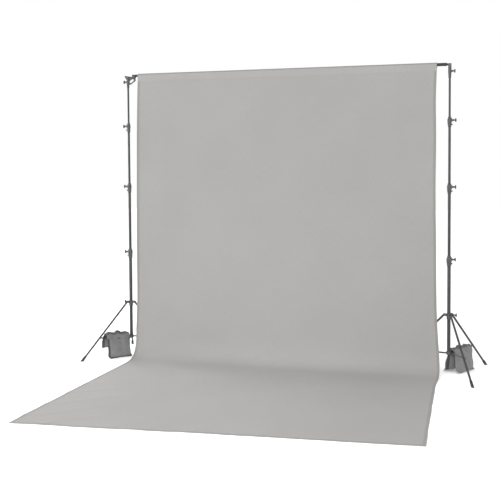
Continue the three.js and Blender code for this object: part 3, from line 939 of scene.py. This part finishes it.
def grid_mesh(point, columns, rows, thick):
    """A sheet with a front, a back and edges. The function point gives the place and the UV of each
    column and row."""
    bm = bmesh.new()
    places = [point(i, j) for j in range(rows + 1) for i in range(columns + 1)]
    points = np.array([tuple(spot) for spot, uv in places]).reshape(rows + 1, columns + 1, 3)
    down = np.gradient(points, axis=0)
    over = np.gradient(points, axis=1)
    normals = np.cross(down, over)
    normals /= np.maximum(np.linalg.norm(normals, axis=2, keepdims=True), 1e-12)
    layer = bm.loops.layers.uv.new("UVMap")
    flat = {}
    sides = []
    for sign in (1, -1):
        skin = points + normals * (sign * thick / 2)
        verts = [[bm.verts.new(spot) for spot in row] for row in skin]
        flat.update(zip([vert for row in verts for vert in row], [uv for spot, uv in places]))
        sides.append(verts)
    faces = []
    front, back = sides
    for j in range(rows):
        for i in range(columns):
            corners = ((j, i), (j, i + 1), (j + 1, i + 1), (j + 1, i))
            faces.append(bm.faces.new([front[a][b] for a, b in corners]))
            faces.append(bm.faces.new([back[a][b] for a, b in reversed(corners)]))
    rim = round_grid(columns, rows)
    for (i, j), (m, n) in zip(rim, rim[1:] + rim[:1]):
        faces.append(bm.faces.new((front[n][m], front[j][i], back[j][i], back[n][m])))
    for face in faces:
        for corner in face.loops:
            corner[layer].uv = flat[corner.vert]
    return faced(bm, "cloth")


def sheet_grid(us, vs, thick):
    def point(i, j):
        return sheet_point(us[i], vs[j]), (us[i] * HALF_WIDTH, vs[j] * PATH_LENGTH)

    return grid_mesh(point, len(us) - 1, len(vs) - 1, thick)


def build_backdrop():
    keep = 1 - mast_travel() / SHEET_TOP
    us = np.linspace(-1, 1, ACROSS + 1)
    vs = np.linspace(0, 1, DOWN + 1)
    share = HEM_WIDE / HALF_WIDTH
    ends = HEM_WIDE / PATH_LENGTH
    thick = SHEET_THICK + 2 * HEM_STANDS
    pieces = {
        "backdrop_cloth": (us, vs, SHEET_THICK, CLOTH),
        "backdrop_hem_left": (np.linspace(-1.0005, -1 + share, 5), vs, thick, HEM),
        "backdrop_hem_right": (np.linspace(1 - share, 1.0005, 5), vs, thick, HEM),
        "backdrop_hem_front": (us, np.linspace(1 - ends, 1.0003, 5), thick, HEM),
    }
    made = {}
    for name, (across, down, thickness, material) in pieces.items():
        mesh = smooth(tinted(sheet_grid(across, down, thickness), material), CLOTH_ANGLE)
        obj = placed(name, mesh, "left_base")
        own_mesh(obj)
        made[name] = obj
    cloth = made.pop("backdrop_cloth")
    pocket = build_pocket()
    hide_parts("backdrop")


def mast_travel():
    """How far the crossbar comes down at the end of mast_height: the travel of all three risers."""
    joints = {j["name"]: j for j in frame["joints"]}
    names = ("mast_height", "left_riser_3_slide", "left_riser_4_slide")
    return sum(max(joints[name]["range_m"]) for name in names)


def build_pocket():
    """The sewn rod pocket: it goes up the front, over the crossbar and back down to its seam."""
    end = -POCKET_SEAM - 0.012
    path = [(-0.0222, end), (-0.0212, -POCKET_SEAM), (-0.0200, -0.030)]
    path += arc(0, 0, POCKET_R + SHEET_THICK, 180, 0, 20)
    path += [(0.012, -0.022), (-0.008, -0.040), (-0.0185, -POCKET_SEAM + 0.004), (-0.0205, end)]
    rows = len(path) - 1

    def point(i, j):
        y, z = path[j]
        x = (-1 + 2 * i / ACROSS) * HALF_WIDTH
        slack = 0.5 * (1 - math.cos(2 * math.pi * j / rows))
        sag = 0.0016 * slack * noise((x * 7, j * 0.2, 3.3))
        return (MIDDLE_X + x, BAR.y + y + sag, BAR.z + z), (x, j * 0.006)

    mesh = smooth(tinted(grid_mesh(point, ACROSS, rows, SHEET_THICK), POCKET_CLOTH), CLOTH_ANGLE)
    return placed("backdrop_pocket", mesh, "left_riser_4")


# ---- sandbags

BAG_SEAM = 232  # height of the pouches' upper seams, in millimetres
BAG_NEAR = 38  # along the brace, from the mast's axis
BAG_GRID = (36, 28)  # cells along a pouch and up it
BAG_FRAMES = 22
BAG_CLOTH = {
    "quality": 6, "mass": 0.25, "tension_stiffness": 25, "compression_stiffness": 25,
    "shear_stiffness": 12, "bending_stiffness": 0.4, "use_pressure": True, "uniform_pressure_force": 5,
}
SLACK = (1.08, 1.12)  # the flat panels' length and height, for those of the pouch that hangs
PULL_IN = 0.4  # of the blown shape's drawn-in sides that sand leaves
# Each pouch: the side of the brace it hangs on, its lowest height, how far it stands out sideways at
# the mast's end and at the far end, and where it ends along the brace.
POUCHES = {
    "left": ((1, 5, 104, 100, 300), (-1, 92, 88, 90, 320)),
    "right": ((1, 6, 118, 92, 300), (-1, 5, 114, 86, 314)),
}
RIDGE = {"left": (246, 262, 1.9), "right": (219, 242, 3.3)}  # the top's two heights and its phase
RIDGE_FAR = 308  # along the brace, where the second height is
# The loose cloth over the brace. At these shares of the way from its middle to its edge it lies this
# far below the top and out to the side; the drops are for a top that is SADDLE_RISE above SADDLE_LOW.
SADDLE_SHARES = (0, 0.25, 0.55, 0.8, 1)
SADDLE_DROP = (0, 2, 12, 30, 52)
SADDLE_OUT = (0, 11, 24, 33, 40)
SADDLE_LOW = 186
SADDLE_RISE = 64
SADDLE_SPAN = (39, 305)  # where it starts and ends along the brace
SADDLE_HALF = 0.09  # half of its flat width, in metres
SADDLE_CLEAR = 1.8  # how far it stays outside the pouches
SADDLE_THICK, TAPE_THICK, HANDLE_THICK = 0.0016, 0.0018, 0.0022
TAPE = (46, 298, 0.62)  # where it starts and ends along the brace, and its share of the saddle's width
HANDLE = (108, 236, 3)  # where it starts and ends, and how far it stands up
HANDLE_HALF = 13
BINDING_SIDE = 1.1  # how far the binding stands off a pouch, beside the seam and at its edge
BINDING_EDGE = 4.2


def pouch_shell(length, height):
    """Two flat panels sewn together all round, and the grid indices of each vertex."""
    columns, rows = BAG_GRID
    verts, faces, index = [], [], {}
    for side in (1, -1):
        for j in range(rows + 1):
            for i in range(columns + 1):
                seam = i in (0, columns) or j in (0, rows)
                key = (i, j, 0 if seam else side)
                if key not in index:
                    index[key] = len(verts)
                    crown = 0 if seam else side * 0.002
                    verts.append((i / columns * length, crown, j / rows * height))
    for side in (1, -1):
        for j in range(rows):
            for i in range(columns):
                ring = [(i, j), (i + 1, j), (i + 1, j + 1), (i, j + 1)][::side]
                faces.append([index.get((*c, side), index.get((*c, 0))) for c in ring])
    return verts, faces, index


def filled(verts, faces, length, height):
    """The shell blown up as a cloth, as shares of its length, thickness and height."""
    mesh = bpy.data.meshes.new("pouch")
    mesh.from_pydata(verts, [], faces)
    obj = linked("pouch", mesh)
    cloth = obj.modifiers.new("fill", "CLOTH")
    for setting, value in BAG_CLOTH.items():
        setattr(cloth.settings, setting, value)
    cloth.settings.effector_weights.gravity = 0
    cloth.collision_settings.use_collision = False
    cloth.point_cache.frame_end = BAG_FRAMES
    for frame_number in range(1, BAG_FRAMES + 1):
        scene.frame_set(frame_number)
    spots = np.array([tuple(v.co) for v in evaluated(obj).data.vertices])
    bpy.data.objects.remove(obj)
    scene.frame_set(1)
    low, high = spots.min(axis=0), spots.max(axis=0)
    flat = np.array(verts) / (length, 1, height)
    for axis in (0, 2):
        blown = (spots[:, axis] - low[axis]) / (high[axis] - low[axis])
        spots[:, axis] = flat[:, axis] + PULL_IN * (blown - flat[:, axis])
    spots[:, 1] /= max(abs(low[1]), abs(high[1]))
    return [tuple(spot) for spot in spots]


def hung(spot, pouch, seed):
    """Where a point of a filled pouch comes to, hanging beside the brace, in metres along it, across
    it and up. Sand gathers low down, so the pouch is widest there."""
    side, low, near_out, far_out, far = pouch
    a, t, h = spot
    z = low + (BAG_SEAM - low) * h**1.3
    out = near_out + (far_out - near_out) * smoothstep(0.1, 1.0, a)
    heights = (low, low + 45, low + 75, 110 + low / 3, 190, BAG_SEAM)
    outer = np.interp(z, heights, (0.93 * out, out, 0.98 * out, 0.88 * out, 60, 33))
    inner = 3 + 15 * smoothstep(145, 182, z)
    middle = (outer + inner) / 2
    middle += (0.88 * outer - middle) * (1 - smoothstep(0, 0.2, h))
    reach = outer - middle if t > 0 else middle - inner
    across = middle + t * reach
    r = BAG_NEAR + (far - BAG_NEAR) * a
    soft = min(1.0, 6 * min(a, 1 - a, h, 1 - h) + 0.15)
    where = (r * 0.021, z * 0.017, seed + (5.0 if t > 0 else 0.0))
    dents = 5.0 * noise(where) + 2.4 * noise(tuple(3.1 * k for k in where))
    wave = math.sin(r * 0.13 + 3 * noise((r * 0.01, z * 0.012, seed)))
    folds_down = 2.6 * wave * smoothstep(120, 225, z)
    strained = (1 - smoothstep(0.35, 0.6, a)) * smoothstep(0.4, 0.6, h) * (1 - smoothstep(0.9, 1, h))
    strain = 1.5 * strained * math.sin((r * 0.8 + z * 0.6) * 0.34 + seed)
    across += soft * (dents + folds_down + strain) * (1 if t > 0 else -0.4)
    across = max(across, inner - 0.5)
    z += 2.5 * (1 - soft) * noise((r * 0.03, across * 0.03, seed + 2))
    return r * MM, side * across * MM, max(z, 2.5) * MM


def pouch_meshes(pouch, seed):
    """A pouch's body and the binding sewn along its seams."""
    length = (pouch[4] - BAG_NEAR) * MM * SLACK[0]
    height = (BAG_SEAM - pouch[1]) * MM * SLACK[1]
    verts, faces, index = pouch_shell(length, height)
    spots = [Vector(hung(s, pouch, seed)) for s in filled(verts, faces, length, height)]
    bm = bmesh.new()
    points = [bm.verts.new(spot) for spot in spots]
    layer = bm.loops.layers.uv.new("UVMap")
    for k, corners in enumerate(faces):
        face = bm.faces.new([points[c] for c in corners])
        for loop, c in zip(face.loops, corners):
            loop[layer].uv = (verts[c][0] + (1.0 if k >= len(faces) / 2 else 0.0), verts[c][2])
    bmesh.ops.recalc_face_normals(bm, faces=bm.faces)
    bm.normal_update()
    normals = [v.normal.copy() for v in bm.verts]
    return [tinted(saved(bm, "pouch"), BAG), binding_mesh(spots, normals, index)]


def binding_mesh(spots, normals, index):
    """Tape folded over the seam all round a pouch."""
    columns, rows = BAG_GRID
    rim = round_grid(columns, rows)

    def inset(i, j, depth):
        return min(max(i, depth), columns - depth), min(max(j, depth), rows - depth)

    bm = bmesh.new()
    layer = bm.loops.layers.uv.new("UVMap")
    rings = []
    for side, depth in ((1, 3), (1, 2), (1, 1), (1, 0), (0, 0), (-1, 0), (-1, 1), (-1, 2), (-1, 3)):
        ring = []
        for i, j in rim:
            cell = inset(i, j, depth)
            k = index.get((*cell, side), index.get((*cell, 0)))
            if depth or not side:
                lift = normals[k] * (BINDING_SIDE if depth else BINDING_EDGE) * MM
            else:
                beside = index[(*inset(i, j, 1), side)]
                lift = normals[k] * 1.8 * MM + normals[beside] * 0.9 * MM
            ring.append(spots[k] + lift)
        rings.append(ring)
    verts = [[bm.verts.new(spot) for spot in ring] for ring in rings]
    for j in range(len(rings) - 1):
        for i in range(len(rim)):
            n = (i + 1) % len(rim)
            face = bm.faces.new((verts[j][i], verts[j][n], verts[j + 1][n], verts[j + 1][i]))
            marks = ((i, j), (i + 1, j), (i + 1, j + 1), (i, j + 1))
            for loop, (u, v) in zip(face.loops, marks):
                loop[layer].uv = (u * 0.0075, v * 0.006)
    bmesh.ops.remove_doubles(bm, verts=bm.verts, dist=1e-6)
    return tinted(faced(bm, "binding"), BINDING)


def ridge_height(side, r):
    """The height of the crumpled top of a bag along the brace, in millimetres."""
    near_top, far_top, phase = RIDGE[side]
    share = (r - BAG_NEAR) / (RIDGE_FAR - BAG_NEAR)
    waves = 8 * math.sin(r * 0.072 + phase) + 6 * noise((r * 0.03, phase, 4.2))
    waves += 3.5 * noise((r * 0.09, phase, 9.1))
    return near_top + (far_top - near_top) * share + waves


def saddle_mesh(side, tree):
    """The loose cloth over the brace that joins the two pouches."""
    columns, rows = 84, 34
    start, stop = SADDLE_SPAN

    def point(i, j):
        p = 2 * j / rows - 1
        r = start + (stop - start) * i / columns
        s, z = saddle_point(side, r, p)
        if abs(p) > 0.5:
            s = pushed_out(tree, r, s, z)
        return Vector((r, s, z)) * MM, (r * MM, p * SADDLE_HALF)

    return tinted(grid_mesh(point, columns, rows, SADDLE_THICK), BAG)


def saddle_point(side, r, p):
    """The sideways place and the height of the loose cloth at p across it, from -1 to 1."""
    sag = abs(p)
    top = ridge_height(side, r)
    drop = np.interp(sag, SADDLE_SHARES, SADDLE_DROP)
    s = math.copysign(np.interp(sag, SADDLE_SHARES, SADDLE_OUT), p)
    z = top - drop * (top - SADDLE_LOW) / SADDLE_RISE
    pleat = math.sin(r * 0.19 + 4 * noise((r * 0.012, p, 3.3 + RIDGE[side][2])))
    s += 2.8 * sag * pleat * (1 if p > 0 else -1)
    z += 1.8 * (1 - sag) * noise((r * 0.06, p * 2.4, 7.7))
    return s, z


def tape_mesh(side):
    """Webbing sewn along the crumpled top."""
    columns, rows = 72, 10
    start, stop, half = TAPE

    def point(i, j):
        p = half * (2 * j / rows - 1)
        r = start + (stop - start) * i / columns
        s, z = saddle_point(side, r, p)
        lean = 1.4 * p
        spot = Vector((r, s + 2.2 * math.sin(lean), z + 2.2 * math.cos(lean))) * MM
        return spot, (r * MM, p * SADDLE_HALF)

    return tinted(grid_mesh(point, columns, rows, TAPE_THICK), WEBBING)


def pushed_out(tree, r, s, z):
    """The sideways place s, moved out until it is clear of the surface in the tree."""
    side = math.copysign(1, s)
    hit = tree.ray_cast(Vector((r * MM, side * 0.2, z * MM)), Vector((0, -side, 0)))[0]
    if hit is None:
        return s
    return side * max(abs(s), abs(hit.y) / MM + SADDLE_CLEAR)


def handle_mesh(side):
    """The carrying handle: a webbing loop that lies slack along the top."""
    columns, rows = 4, 48
    start, stop, rise = HANDLE

    def point(i, j):
        t = j / rows
        hump = math.sin(math.pi * t)
        r = start + (stop - start) * t + 5 * math.sin(4 * math.pi * t)
        arch = hump**0.6 * rise + 4 * noise((t * 5, rise, 1.1)) * hump
        z = ridge_height(side, r) + 5 + max(0.0, arch)
        lean = 0.55 * hump + 0.4 * noise((t * 3, 2.2, rise))
        w = HANDLE_HALF * (2 * i / columns - 1)
        s = w * math.cos(lean) + 9 * math.sin(2 * math.pi * t)
        spot = Vector((r, s, z + w * math.sin(lean) - 0.004 * w * w)) * MM
        return spot, (w * MM, t * (stop - start) * MM)

    return tinted(grid_mesh(point, columns, rows, HANDLE_THICK), WEBBING)


def subdivided(mesh):
    obj = linked("soft", mesh)
    obj.modifiers.new("round", "SUBSURF").levels = 1
    done = bpy.data.meshes.new_from_object(evaluated(obj))
    bpy.data.objects.remove(obj)
    return done


def tree_of(meshes):
    bm = bmesh.new()
    for mesh in meshes:
        bm.from_mesh(mesh)
    tree = BVHTree.FromBMesh(bm)
    bm.free()
    return tree


def build_sandbags():
    for number, side in enumerate(SIDES):
        parts = []
        for k, pouch in enumerate(POUCHES[side]):
            parts += [subdivided(mesh) for mesh in pouch_meshes(pouch, 10 * number + 3.7 * k)]
        parts += [saddle_mesh(side, tree_of(parts)), tape_mesh(side), handle_mesh(side)]
        bag = smooth(moved(stacked(parts), on_mast(side, 0, LEG_ANGLES[side][0])), 50)
        obj = placed(f"{side}_sandbag_filled", bag, f"{side}_base")
        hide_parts(f"{side}_sandbag")
        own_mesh(obj)


# ---- stage, light and camera


# name, place, power in watts, size, spread in degrees, and the height it aims at
LAMPS = (
    ("front_softbox", (-1.2, -11.0, 4.6), 585, 5.0, 180, 1.2),
    ("low_softbox", (0.4, -9.5, 1.0), 7, 1.6, 24, 0.0),
    ("side_softbox", (-5.6, 1.9, 2.2), 220, 3.0, 180, 1.2),
)
CAMERA_SPOT = (2.5266, -7.9419, 2.013)
CAMERA_TURN = (0.306, 0.052, -0.007)  # its heading, how far it looks down, and its roll, in radians
CAMERA_LENS = 68.1
CAMERA_SHIFT = -0.08


def build_stage():
    bpy.ops.mesh.primitive_plane_add(size=60)
    floor = bpy.context.object
    floor.name = "studio_floor"
    paint = Paint("studio_white")
    tone = paint.noise(paint.place(), 0.3, 2.0)
    paint.feed("Base Color", paint.ramp(tone, ((0.3, grey(0.93)), (0.7, grey(0.95)))))
    paint.fix("Roughness", 0.9)
    paint.fix("Specular IOR Level", 0.1)
    paint.fix("Emission Color", (1, 1, 1, 1))
    paint.fix("Emission Strength", 0.2)
    floor.data.materials.append(paint.material)


def build_lights():
    world = bpy.data.worlds.new("studio")
    scene.world = world
    world.use_nodes = True
    light = world.node_tree.nodes["Background"].inputs
    light["Color"].default_value = (1, 1, 1, 1)
    light["Strength"].default_value = 1.0
    for name, spot, power, size, spread, aim in LAMPS:
        data = bpy.data.lights.new(name, "AREA")
        data.energy = power
        data.size = size
        data.spread = math.radians(spread)
        lamp = linked(name, data)
        lamp.location = spot
        lamp.rotation_mode = "QUATERNION"
        lamp.rotation_quaternion = (Vector((0, 0.5, aim)) - Vector(spot)).to_track_quat("-Z", "Y")


def build_camera():
    """The viewpoint: right of the middle, about 2 m up, looking in towards the left."""
    heading, pitch, roll = CAMERA_TURN
    flat = math.cos(pitch)
    ahead = Vector((-math.sin(heading) * flat, math.cos(heading) * flat, -math.sin(pitch)))
    level = Vector((math.cos(heading), math.sin(heading), 0))
    upright = level.cross(ahead)
    right = level * math.cos(roll) + upright * math.sin(roll)
    up = upright * math.cos(roll) - level * math.sin(roll)
    data = bpy.data.cameras.new("camera")
    data.sensor_width = 36
    data.lens = CAMERA_LENS
    data.shift_y = CAMERA_SHIFT
    data.clip_end = 200
    camera = linked("camera", data)
    turn = Matrix((right, up, -ahead)).transposed().to_4x4()
    camera.matrix_world = Matrix.Translation(CAMERA_SPOT) @ turn
    scene.camera = camera


build_camera()
build_masts()
build_tripods()
build_brackets()
build_crossbar()
build_backdrop()
build_sandbags()
build_stage()
build_lights()
scene.view_settings.view_transform = "Standard"
